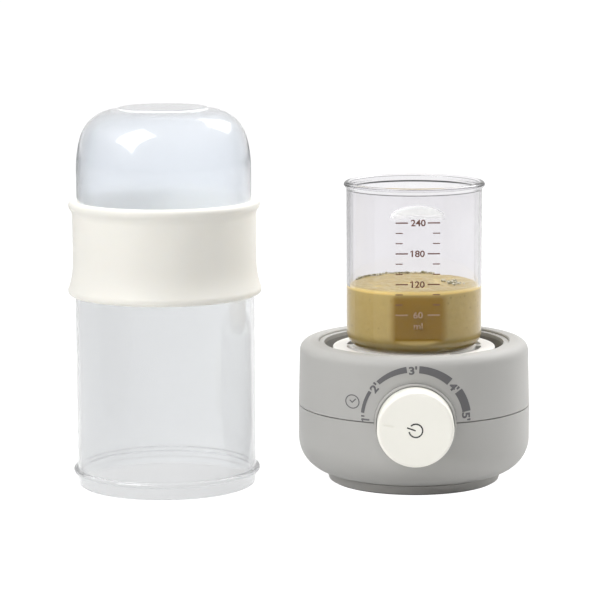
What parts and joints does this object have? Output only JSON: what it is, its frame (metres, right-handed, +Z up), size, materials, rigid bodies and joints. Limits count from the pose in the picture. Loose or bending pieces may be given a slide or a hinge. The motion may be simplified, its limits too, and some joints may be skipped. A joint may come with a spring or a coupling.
{
  "type": "steam bottle warmer",
  "caption": "Round steam bottle warmer: heated base with a press-and-turn dial, a glass beaker on its lift-out grid, and a clear hood standing beside it.",
  "frame": {"origin": "centre of the base's foot on the table", "axes": "+Z up along the base's axis, -Y towards the dial knob, -X towards the hood that stands beside the base"},
  "size_m": [0.2442, 0.1387, 0.1995],
  "materials": {
    "grey_shell": "satin moulded, fine grain",
    "foot_grey": "satin moulded",
    "foot_rubber": "matt",
    "screw_steel": "zinc plated",
    "bezel_grey": "satin moulded",
    "well_grey": "satin heat-resistant moulding",
    "gasket_silicone": "matt silicone",
    "bowl_steel": "drawn stainless",
    "clamp_steel": "pressed sheet",
    "heater_steel": "heat-tinted tube",
    "thermostat_body": "moulded body",
    "fuse_metal": "drawn case",
    "lead_insulation": "silicone insulation",
    "board_laminate": "solder resist",
    "board_black": "moulded parts",
    "encoder_metal": "pressed case",
    "nut_steel": "plated",
    "gland_rubber": "matt",
    "plunger_white": "moulded",
    "shaft_steel": "turned",
    "knob_white": "semi-gloss moulded",
    "grid_white": "semi-gloss moulded",
    "beaker_glass": "clear pressed",
    "puree": "wet vegetable puree",
    "sleeve_clear": "translucent moulded, glossy",
    "band_silicone": "soft matt silicone",
    "dome_clear": "translucent moulded, glossy"
  },
  "bodies": {
    "base": {"upper_housing": "grey_shell", "lower_housing": "grey_shell", "foot_plate": "foot_grey", "foot_ring": "foot_rubber", "foot_screws": "screw_steel", "knob_bezel": "bezel_grey", "steam_well": "well_grey", "bowl_gasket": "gasket_silicone", "steam_bowl": "bowl_steel", "bowl_clamp": "clamp_steel", "clamp_screws": "screw_steel", "heater": "heater_steel", "thermostat": "thermostat_body", "thermal_fuse": "fuse_metal", "heater_leads": "lead_insulation", "control_board": "board_laminate", "board_parts": "board_black", "encoder": "encoder_metal", "encoder_nut": "nut_steel", "cord_gland": "gland_rubber"},
    "switch": {"switch_plunger": "plunger_white"},
    "dial": {"knob": "knob_white", "knob_shaft": "shaft_steel"},
    "grid": {"steam_grid": "grid_white"},
    "cup": {"beaker": "beaker_glass", "puree": "puree"},
    "hood": {"hood_sleeve": "sleeve_clear", "hood_band": "band_silicone"},
    "lid": {"hood_dome": "dome_clear"}
  },
  "joints": [
    {"name": "knob_press", "type": "slide", "parent": "base", "child": "switch", "axis": [0, 1, 0], "range_m": [0, 0.0015], "stiffness_N_per_m": 1500, "springref_m": -0.0005},
    {"name": "knob_turn", "type": "hinge", "parent": "switch", "child": "dial", "pos_m": [0, -0.0655, 0.041], "axis": [0, 1, 0], "range_deg": [0, 162]},
    {"name": "grid_lift", "type": "slide", "parent": "base", "child": "grid", "axis": [0, 0, 1], "range_m": [0, 0.06]},
    {"name": "beaker_lift", "type": "slide", "parent": "grid", "child": "cup", "axis": [0, 0, 1], "range_m": [0, 0.1]},
    {"name": "hood_lift", "type": "slide", "parent": "base", "child": "hood", "axis": [0, 0, 1], "range_m": [0, 0.17]},
    {"name": "dome_lift", "type": "slide", "parent": "hood", "child": "lid", "axis": [0, 0, 1], "range_m": [0, 0.06]}
  ]
}
